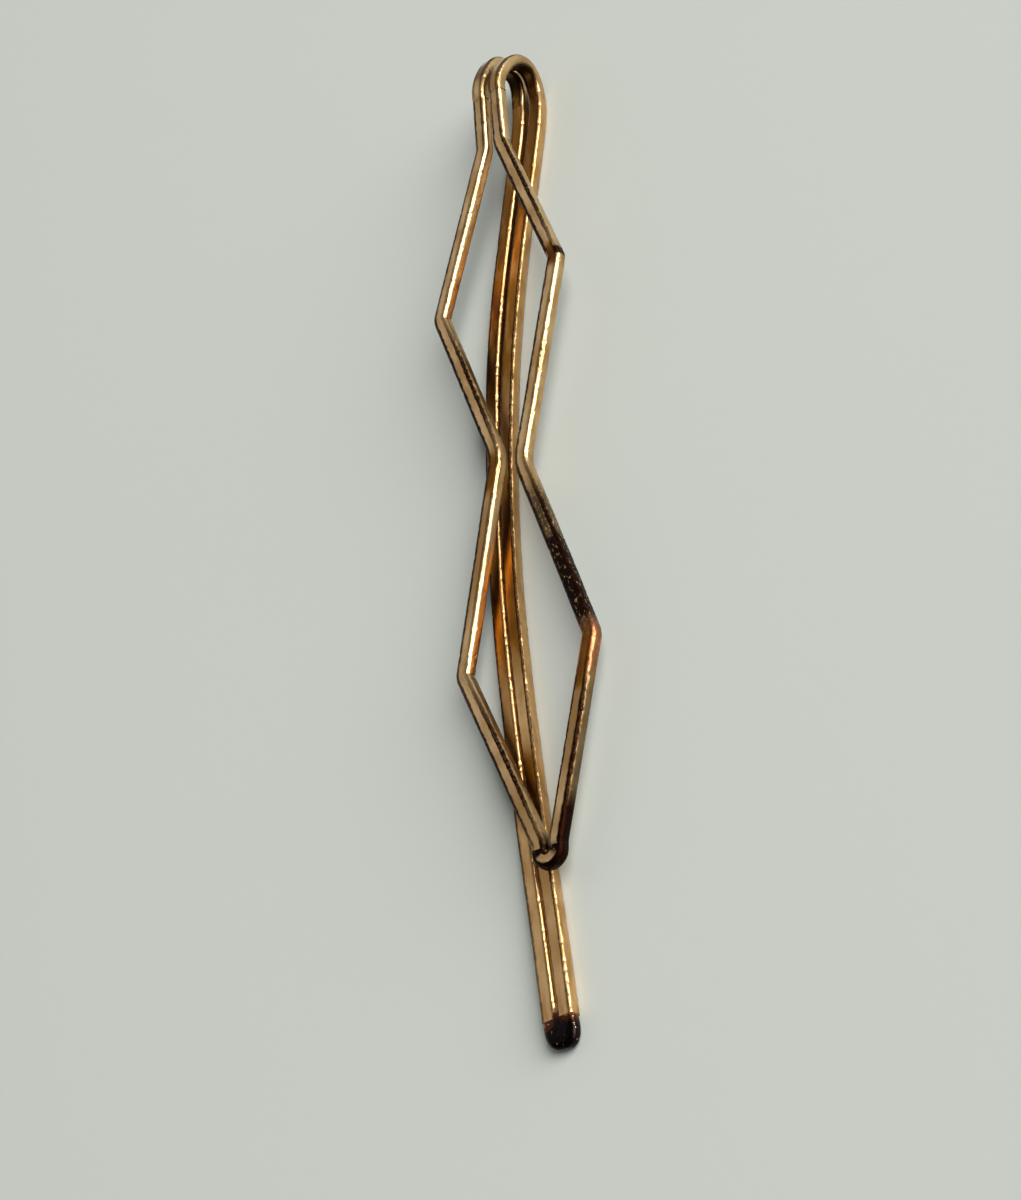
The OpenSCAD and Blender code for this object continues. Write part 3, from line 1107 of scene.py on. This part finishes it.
def rounded(corners: list[np.ndarray], radii: Iterable[float], steps: int = 24) -> np.ndarray:
    """Rounds each inner corner of a line with an arc.

    Args:
        corners: The line's corners.
        radii: The radius at each inner corner.
        steps: How many runs each arc has.

    Returns:
        The rounded line's points.
    """
    points = [corners[0]]
    for before, corner, after, radius in zip(corners, corners[1:], corners[2:], radii):
        back, on = unit(before - corner), unit(after - corner)
        half = math.acos(float(np.clip(back @ on, -1, 1))) / 2
        centre = corner + unit(back + on) * radius / math.sin(half)
        start = unit(corner + back * radius / math.tan(half) - centre)
        for turn in np.linspace(0.0, math.pi - 2 * half, steps + 1):
            points.append(centre + radius * (math.cos(turn) * start - math.sin(turn) * back))
    points.append(corners[-1])
    return np.array(points)


def home_of(upper: UpperLeg) -> np.ndarray:
    """Returns the move from the CAD source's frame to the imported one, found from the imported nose."""
    low, high = (np.array(corner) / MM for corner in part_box("nose"))
    return np.array([(low[0] + high[0]) / 2 - upper.nose_shift, high[1] - upper.nose_cut, 0.0])


@dataclass(frozen=True)
class Grain:
    """A grain in the wire's surface.

    Attributes:
        across: Its size across the wire, in millimetres.
        along: Its length along the wire, in millimetres.
        low: The noise that becomes 0.
        high: The noise that becomes 1.
    """

    across: float
    along: float
    low: float
    high: float


@dataclass(frozen=True)
class GiltFinish:
    """Gilding on brass wire that was drawn, rolled between flats, bent and worn; some of its stains are
    painted shade and painted dark reflection.

    Lengths are in millimetres. The shoulder's places run from 0, where the flat ends, to 1 on the side.
    A stain's kept share is what is left of it where the grain that breaks it up is 1.
    """

    name: str = "gilt_brass_wire"
    gilt: str = "#DAB684"
    olive: str = "#B89260"
    amber: str = "#8A5B17"
    umber: str = "#45210A"
    # The shoulders' dark line: partly oxide, partly painted dark reflection.
    tarnish_and_dark_reflection: str = "#1E0803"
    copper: str = "#B8643C"
    # Painted shade for the loops' inner face.
    shade: str = "#241006"
    # Black for grime, and for painted shade in the nose's slot and on the darkened side.
    soot_and_shade: str = "#1E0C05"
    roughness: float = 0.29
    darkened_roughness: float = 0.2
    section: Wire = Wire()
    cloud: Grain = Grain(0.5, 1.6, 0.35, 0.7)
    # Real specks of wear are 0.02 to 0.1 mm across, too fine to show, so they are drawn a little coarser.
    speck: Grain = Grain(0.11, 0.18, 0.42, 0.66)
    fleck: Grain = Grain(0.1, 0.24, 0.54, 0.68)
    ragged: Grain = Grain(0.12, 0.35, 0.3, 0.75)
    # The die's scratches are about 0.01 mm wide, and are drawn five times as wide to catch the light.
    scratch: Grain = Grain(0.05, 0.6, 0.2, 0.8)
    scratch_depth: float = 0.008
    scratch_strength: float = 0.2
    flat_ends: tuple[float, float] = (-0.1, 0.3)
    kept_off_flat: float = 0.15
    side_from: float = 0.5
    amber_kept: float = 0.6
    amber_strength: float = 2.0
    umber_kept: float = 0.7
    umber_from: float = 0.5
    copper_kept: float = 0.5
    shade_kept: float = 0.8
    soot_and_shade_kept: float = 0.25
    soot_and_shade_strength: float = 1.5
    line_kept: float = 0.9
    line_starts: tuple[float, float] = (-0.42, -0.3)
    line_ends: tuple[float, float] = (0.42, 0.6)
    line_torn: float = 0.2
    line_narrowed: float = -0.4
    shaded_side_and_soot_torn: float = 0.07
    shaded_side_and_soot_edge: tuple[float, float] = (0.7, 1.2)
    shaded_side_and_soot_strength: float = 1.15
    inner_edge: tuple[float, float] = (-0.2, -0.8)

    def material(self) -> bpy.types.Material:
        """Makes the material.

        Returns:
            The material.
        """
        # Gilt brass wire, drawn round and rolled flat: a warm pale metal with soft streaks along it, bright
        # lines of light on its shoulders, and brown to black marks: oxide where no finger rubs it clean, and
        # painted shade and painted dark reflection under the arms, inside the loops, along the shoulders and
        # at the nose.
        material = blank_material(self.name)
        tree = material.node_tree
        colour, rough, bump = PatinaAndShade(self, tree).layers()
        look = {"Base Color": colour, "Metallic": 1.0, "Roughness": rough, "Normal": bump}
        shader = add_node(tree, "ShaderNodeBsdfPrincipled", {}, look)
        add_node(tree, "ShaderNodeOutputMaterial", {}, {"Surface": shader})
        return material


class PatinaAndShade:
    """The nodes of a gilt finish, with its stains and its painted shade. Its methods take and return the
    tree's nodes, or their sockets.
    """

    def __init__(self, finish: GiltFinish, tree: Any) -> None:
        """Starts from the wire's own coordinates, in millimetres.

        Args:
            finish: The finish.
            tree: Its material's tree.
        """
        self.finish = finish
        self.tree = tree
        self.lie = add_node(tree, ATTRIBUTE, {"attribute_name": "lie"}).outputs["Vector"]
        self.across, self.through, _ = add_node(tree, SPLIT, {}, {0: self.lie}).outputs
        self.speck, self.ragged = self._grain(finish.speck), self._grain(finish.ragged)

    def _grain(self, grain: Grain) -> Any:
        """Returns noise from 0 to 1, in the wire's own coordinates.

        Args:
            grain: The noise's size and levels.

        Returns:
            The noise.
        """
        counted = {0: self.lie, 1: (1 / grain.across, 1 / grain.across, 1 / grain.along)}
        place = add_node(self.tree, VECTOR_MATH, MULTIPLY, counted)
        noise = add_node(self.tree, NOISE, {}, {"Vector": place, "Scale": 1.0, "Detail": 3.0}).outputs["Fac"]
        levels = {"Value": noise, "From Min": grain.low, "From Max": grain.high}
        return add_node(self.tree, MAP_RANGE, SMOOTH, levels)

    def _stain(self, stain: Stain, grain: Any, keep: float, strength: float = 1.0) -> Any:
        """Returns how strongly one stain shows at a place, broken up by a grain.

        Args:
            stain: The stain.
            grain: The grain that breaks it up.
            keep: The share of the stain that is left where the grain is 1.
            strength: What the result is multiplied by, before it is cut off at 1.

        Returns:
            A value from 0 to 1.
        """
        depth = add_node(self.tree, ATTRIBUTE, {"attribute_name": stain.value}).outputs["Fac"]
        broken = {"Value": grain, "To Min": strength, "To Max": strength * keep}
        left = add_node(self.tree, MAP_RANGE, {}, broken)
        return add_node(self.tree, MATH, MULTIPLY_CLAMPED, {0: depth, 1: left})

    def _shoulder(self) -> Any:
        """Returns how far round the shoulder a place is.

        Returns:
            Below 0 on the flats, and from 0 where they end to 1 on the sides.
        """
        section = self.finish.section
        reach = add_node(self.tree, MATH, ABSOLUTE, {0: self.across})
        past = add_node(self.tree, MATH, SUBTRACT, {0: reach, 1: section.flat})
        return add_node(self.tree, MATH, DIVIDE, {0: past, 1: section.shoulder})

    def _line(self, shoulder: Any) -> Any:
        """Returns the dark line along the shoulders, widest where the stain is deepest: partly oxide, partly
        painted dark reflection of the room overhead.

        Args:
            shoulder: How far round the shoulder a place is.

        Returns:
            A value from 0 to 1.
        """
        tree, finish = self.tree, self.finish
        lined = self._stain(Stain.LINE, self.speck, finish.line_kept)
        torn = add_node(tree, MATH, MULTIPLY_ADD, {0: self.ragged, 1: finish.line_torn, 2: shoulder})
        edge = add_node(tree, MATH, MULTIPLY_ADD, {0: lined, 1: finish.line_narrowed, 2: torn})
        share = lined
        for (start, end), level in ((finish.line_starts, 0.0), (finish.line_ends, 1.0)):
            limit = {"Value": edge, "From Min": start, "From Max": end, "To Min": level, "To Max": 1 - level}
            within = add_node(tree, MAP_RANGE, SMOOTH, limit)
            share = add_node(tree, MATH, MULTIPLY, {0: share, 1: within})
        return share

    def _shaded_side_and_soot(self) -> Any:
        """Returns how dark one side of the wire is, with a ragged edge: the side of the stain's sign. The
        darkening is partly the pin's own black grime and partly painted shade on the far edge and the nose's
        rim.

        Returns:
            A value from 0 to 1.
        """
        tree, finish, half = self.tree, self.finish, self.finish.section.flat
        depth = add_node(tree, ATTRIBUTE, {"attribute_name": Stain.SHADED_SIDE_AND_SOOT.value}).outputs["Fac"]
        which = add_node(tree, MATH, {"operation": "SIGN"}, {0: depth})
        toward = add_node(tree, MATH, MULTIPLY, {0: self.across, 1: which})
        torn = add_node(tree, MATH, MULTIPLY_ADD, {0: self.ragged, 1: finish.shaded_side_and_soot_torn, 2: toward})
        near, far = finish.shaded_side_and_soot_edge
        beyond = {"Value": torn, "From Min": near * half, "From Max": far * half}
        side = add_node(tree, MAP_RANGE, SMOOTH, beyond)
        size = add_node(tree, MATH, ABSOLUTE, {0: depth})
        amount = add_node(tree, MATH, MULTIPLY_CLAMPED, {0: size, 1: finish.shaded_side_and_soot_strength})
        return add_node(tree, MATH, MULTIPLY, {0: side, 1: amount})

    def _inner(self, amount: Any) -> Any:
        """Returns an amount that is kept on the wire's inner face, and falls to 0 on its outer one: where the
        painted shade inside the loops goes.

        Args:
            amount: The amount.

        Returns:
            A value from 0 to 1.
        """
        half = self.finish.section.thickness / 2
        near, far = self.finish.inner_edge
        depth = {"Value": self.through, "From Min": near * half, "From Max": far * half}
        inside = add_node(self.tree, MAP_RANGE, SMOOTH, depth)
        return add_node(self.tree, MATH, MULTIPLY, {0: inside, 1: amount})

    def layers(self) -> tuple[Any, Any, Any]:
        """Lays gilt, olive, amber and umber, the dark shoulder line, bare copper, painted shade, the darkened
        side and black patches over each other. The amber, umber, darkened side and black patches are partly
        painted shade, and the line partly painted dark reflection.

        Returns:
            The colour, the roughness and the bumped normal.
        """
        tree, finish = self.tree, self.finish
        cloud, fleck = self._grain(finish.cloud), self._grain(finish.fleck)
        shoulder = self._shoulder()
        start, end = finish.flat_ends
        flats = {"Value": shoulder, "From Min": start, "From Max": end, "To Min": 1.0}
        on_flat = add_node(tree, MAP_RANGE, SMOOTH, {**flats, "To Max": finish.kept_off_flat})
        sides = {"Value": on_flat, "From Min": 1.0, "From Max": finish.side_from}
        on_side = add_node(tree, MAP_RANGE, {}, {**sides, "To Min": finish.kept_off_flat})
        deep = {"Value": self._stain(Stain.AMBER, cloud, finish.umber_kept), "From Min": finish.umber_from}
        deepest = add_node(tree, MAP_RANGE, {}, deep)
        shaded_side_and_soot = self._shaded_side_and_soot()
        # Black patches: grime on the right arm, painted shade in the nose's crumpled slot.
        burnt = self._stain(Stain.SOOT_AND_SHADE, fleck, finish.soot_and_shade_kept, finish.soot_and_shade_strength)
        line = self._line(shoulder)
        masked = (
            (on_flat, self._stain(Stain.AMBER, cloud, finish.amber_kept, finish.amber_strength)),
            (on_flat, deepest),
            (on_side, self._stain(Stain.COPPER, self.speck, finish.copper_kept)),
        )
        aged_and_shaded, darkest, bare = (add_node(tree, MATH, MULTIPLY, {0: mask, 1: stain}) for mask, stain in masked)
        colour: Any = finish.gilt
        for share, layer in (
            (cloud, finish.olive),
            # Amber and umber: the pin's own brown patches, and painted shade on the lower leg.
            (aged_and_shaded, finish.amber),
            (darkest, finish.umber),
            # The shoulders' dark line, partly painted dark reflection.
            (line, finish.tarnish_and_dark_reflection),
            (bare, finish.copper),
            # Painted shade on the loops' inner face.
            (self._inner(self._stain(Stain.SHADE, self.ragged, finish.shade_kept)), finish.shade),
            # The darkened side: partly black grime, partly painted shade.
            (shaded_side_and_soot, finish.soot_and_shade),
            # Black patches, partly painted shade in the nose's slot.
            (burnt, finish.soot_and_shade),
        ):
            colour = add_node(tree, MIX, COLOURS, {0: share, 6: colour, 7: layer}).outputs[2]
        soot_and_shade_marks = add_node(tree, MATH, MAXIMUM, {0: shaded_side_and_soot, 1: burnt})
        dull = add_node(tree, MATH, MAXIMUM, {0: line, 1: soot_and_shade_marks})
        rough = add_node(tree, MATH, MULTIPLY_ADD, {0: dull, 1: finish.darkened_roughness, 2: finish.roughness})
        scratches = {"Height": self._grain(finish.scratch), "Strength": finish.scratch_strength}
        drawn = {**scratches, "Distance": finish.scratch_depth * MM}
        return colour, rough, add_node(tree, "ShaderNodeBump", {}, drawn)


@dataclass(frozen=True)
class BurntTip:
    """Soft solder over brass, burnt by the torch. Grain sizes are in millimetres."""

    name: str = "burnt_solder"
    black: str = "#0E0504"
    maroon: str = "#4E2410"
    brass: str = "#B88E60"
    metallic: float = 0.8
    roughness: float = 0.25
    cloud: float = 0.45
    torn: float = 0.5
    maroon_edge: tuple[float, float] = (0.08, 0.2)
    black_edge: tuple[float, float] = (0.26, 0.46)
    # Real pits and glints are about 0.05 mm, too fine to show, so they are drawn three times as coarse. The
    # glints are painted, as brass specks.
    pit: float = 0.16
    pit_depth: float = 0.04
    pit_strength: float = 0.6
    glint: tuple[float, float] = (0.66, 0.7)

    def material(self) -> bpy.types.Material:
        """Makes the material.

        Returns:
            The material.
        """
        # Solder melted on by a torch and rubbed shiny since: almost black, with a maroon cast where it thins
        # out over the brass, and a few brass specks that are painted glints.
        material = blank_material(self.name)
        tree = material.node_tree
        place = add_node(tree, "ShaderNodeTexCoord").outputs["Object"]
        scales = (1 / (size * MM) for size in (self.cloud, self.pit))
        cloud, fine = (
            add_node(tree, NOISE, {}, {"Vector": place, "Scale": scale, "Detail": 3.0}).outputs["Fac"]
            for scale in scales
        )
        burn = add_node(tree, ATTRIBUTE, {"attribute_name": "burn"}).outputs["Fac"]
        edge = add_node(tree, MATH, MULTIPLY_ADD, {0: cloud, 1: self.torn, 2: burn})
        colour: Any = self.brass
        for value, (low, high), layer in (
            (edge, self.maroon_edge, self.maroon),
            (edge, self.black_edge, self.black),
            # Painted glints: brass specks on the black.
            (fine, self.glint, self.brass),
        ):
            share = add_node(tree, MAP_RANGE, SMOOTH, {"Value": value, "From Min": low, "From Max": high})
            colour = add_node(tree, MIX, COLOURS, {0: share, 6: colour, 7: layer}).outputs[2]
        pits = {"Height": fine, "Strength": self.pit_strength, "Distance": self.pit_depth * MM}
        bump = add_node(tree, "ShaderNodeBump", {}, pits)
        look = {"Base Color": colour, "Metallic": self.metallic, "Roughness": self.roughness, "Normal": bump}
        shader = add_node(tree, "ShaderNodeBsdfPrincipled", {}, look)
        add_node(tree, "ShaderNodeOutputMaterial", {}, {"Surface": shader})
        return material


def direction(azimuth: float, elevation: float) -> Vector:
    """Returns the direction of a place in the sky, from its azimuth and elevation in degrees."""
    az, el = math.radians(azimuth), math.radians(elevation)
    return Vector((math.cos(el) * math.cos(az), math.cos(el) * math.sin(az), math.sin(el)))


@dataclass(frozen=True)
class SoftLamp:
    """A softbox that faces the pin. Its place is in degrees, and its distance and sides are in metres."""

    name: str
    azimuth: float
    elevation: float
    distance: float
    width: float
    height: float
    power: float

    def place(self) -> bpy.types.Object:
        """Makes the lamp.

        Returns:
            The lamp.
        """
        light = bpy.data.lights.new(self.name, "AREA")
        light.shape = "RECTANGLE"
        light.size = self.width
        light.size_y = self.height
        light.energy = self.power
        lamp = place_object(self.name, light)
        toward = direction(self.azimuth, self.elevation)
        lamp.location = toward * self.distance
        lamp.rotation_euler = toward.to_track_quat("Z", "Y").to_euler()
        return lamp


@dataclass
class Studio:
    """The floor, the room's soft light and the camera.

    Attributes:
        home: The move from the CAD source's frame, which the aim is in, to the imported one.
        floor_size: The floor's side, in metres.
        floor_z: The floor's height in metres, a hair below the pin.
        backdrop: The colour that the far floor and the room have to the camera.
        fade: Where the floor starts and ends its change into that, in metres from the pin.
        pale_below: The elevation up to which the room is as bright as the horizon, in degrees.
        dark_above: The elevation from which it is as dark as the ceiling.
    """

    home: np.ndarray
    floor_colour: str = "#C2C6BE"
    floor_size: float = 2.4
    floor_z: float = -0.00001
    backdrop: str = "#C8CBC1"
    fade: tuple[float, float] = (0.08, 0.25)
    horizon: float = 0.55
    ceiling: float = 0.04
    pale_below: float = 14.0
    dark_above: float = 42.0
    azimuth: float = -40.56
    elevation: float = 42.99
    roll: float = -1.58
    distance: float = 114.856
    lens: float = 66.357
    aim: tuple[float, float, float] = (-1.97076, 24.23456, 1.0)
    lamps: tuple[SoftLamp, ...] = (
        SoftLamp("window_light", 14.0, 33.0, 1.6, 1.24, 1.8, 52.0),
        SoftLamp("back_fill", 139.0, 44.0, 0.9, 0.8, 0.54, 0.75),
    )

    def build(self) -> None:
        """Makes the floor, the lamps, the room and the camera."""
        self._floor()
        for lamp in self.lamps:
            lamp.place()
        self._room()
        self._camera()
        bpy.context.scene.view_settings.view_transform = "Standard"

    def _floor(self) -> None:
        """Makes the floor, whose far part has the backdrop's colour to the camera and in the metal."""
        half = self.floor_size / 2
        mesh = bpy.data.meshes.new("floor")
        corners = [(x * half, y * half, self.floor_z) for x, y in ((-1, -1), (1, -1), (1, 1), (-1, 1))]
        mesh.from_pydata(corners, [], [(0, 1, 2, 3)])
        # Matt card: it gives the eye nothing but an even pale grey and the pin's soft shadow.
        material = blank_material("pale_floor")
        tree = material.node_tree
        matt = {"Base Color": self.floor_colour, "Roughness": 0.9, "Specular IOR Level": 0.1}
        shader = add_node(tree, "ShaderNodeBsdfPrincipled", {}, matt)
        place = add_node(tree, "ShaderNodeTexCoord").outputs["Object"]
        away = add_node(tree, VECTOR_MATH, {"operation": "LENGTH"}, {0: place}).outputs["Value"]
        start, end = self.fade
        far = add_node(tree, MAP_RANGE, SMOOTH, {"Value": away, "From Min": start, "From Max": end})
        ray = add_node(tree, "ShaderNodeLightPath").outputs
        seen = add_node(tree, MATH, ADD, {0: ray["Is Camera Ray"], 1: ray["Is Glossy Ray"]})
        share = add_node(tree, MATH, MULTIPLY, {0: far, 1: seen})
        plain = add_node(tree, "ShaderNodeEmission", {}, {"Color": self.backdrop})
        both = add_node(tree, "ShaderNodeMixShader", {}, {0: share, 1: shader, 2: plain})
        add_node(tree, "ShaderNodeOutputMaterial", {}, {"Surface": both})
        mesh.materials.append(material)
        floor = place_object("floor", mesh)

    def _room(self) -> None:
        """Makes the room's light: pale low down and dark overhead, as where someone leans over the pin."""
        world = bpy.data.worlds.new("room")
        bpy.context.scene.world = world
        world.use_nodes = True
        tree = world.node_tree
        tree.nodes.clear()
        toward = add_node(tree, "ShaderNodeTexCoord").outputs["Generated"]
        height = add_node(tree, SPLIT, {}, {0: toward}).outputs["Z"]
        low, high = (math.sin(math.radians(angle)) for angle in (self.pale_below, self.dark_above))
        fall = {"Value": height, "From Min": low, "From Max": high}
        levels = {"To Min": self.horizon, "To Max": self.ceiling}
        level = add_node(tree, MAP_RANGE, SMOOTH, {**fall, **levels})
        light, plain = (
            add_node(tree, "ShaderNodeBackground", {}, {"Color": colour, "Strength": strength})
            for colour, strength in (("#FFFFFF", level), (self.backdrop, 1.0))
        )
        seen = add_node(tree, "ShaderNodeLightPath").outputs["Is Camera Ray"]
        both = add_node(tree, "ShaderNodeMixShader", {}, {0: seen, 1: light, 2: plain})
        add_node(tree, "ShaderNodeOutputWorld", {}, {"Surface": both})

    def _camera(self) -> None:
        """Makes the camera at the photograph's viewing angle."""
        back = direction(self.azimuth, self.elevation)
        level = Vector((0.0, 1.0, 0.0)).cross(back).normalized()
        rise = back.cross(level)
        roll = math.radians(self.roll)
        right = math.cos(roll) * level + math.sin(roll) * rise
        up = -math.sin(roll) * level + math.cos(roll) * rise
        camera = place_object("camera", bpy.data.cameras.new("camera"))
        camera.data.lens = self.lens
        camera.data.sensor_width = SENSOR
        camera.data.clip_start = 0.01
        place = (Vector(self.aim) + Vector(self.home) + back * self.distance) * MM
        camera.matrix_world = Matrix.Translation(place) @ Matrix((right, up, back)).transposed().to_4x4()
        bpy.context.scene.camera = camera


def main() -> None:
    """Builds the pin and its studio in order, and reports each piece."""
    logging.basicConfig(level=logging.INFO, format="%(name)s: %(message)s")
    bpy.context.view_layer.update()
    wire = Wire()
    bend = SpringBend(wire)
    leg = LowerLeg(wire, bend)
    upper = UpperLeg(wire, bend, leg)
    home = home_of(upper)
    drawing = WireDrawing(wire, home)
    # The lower leg's wire has smaller shoulders, as harder rolling gives. Its gilt is a shaded copy, a little
    # warmer: painted shade for the leg that lies under the upper leg.
    flatter = Wire(shoulder=0.17, drop=0.22)
    gilt = GiltFinish().material()
    shaded = GiltFinish(name="shaded_gilt_brass", gilt="#DFB57E", olive="#BC915A", section=flatter).material()
    pieces = leg.build(WireDrawing(flatter, home), shaded, BurntTip().material())
    pieces += bend.build(drawing, leg, gilt)
    pieces += upper.build(drawing, gilt)
    Studio(home).build()
    for piece in pieces:
        faces, body = len(piece.data.polygons), piece.get("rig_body", "both legs")
        LOG.info("%s: %d faces, rides %s", piece.name, faces, body)


if __name__ == "__main__":
    main()
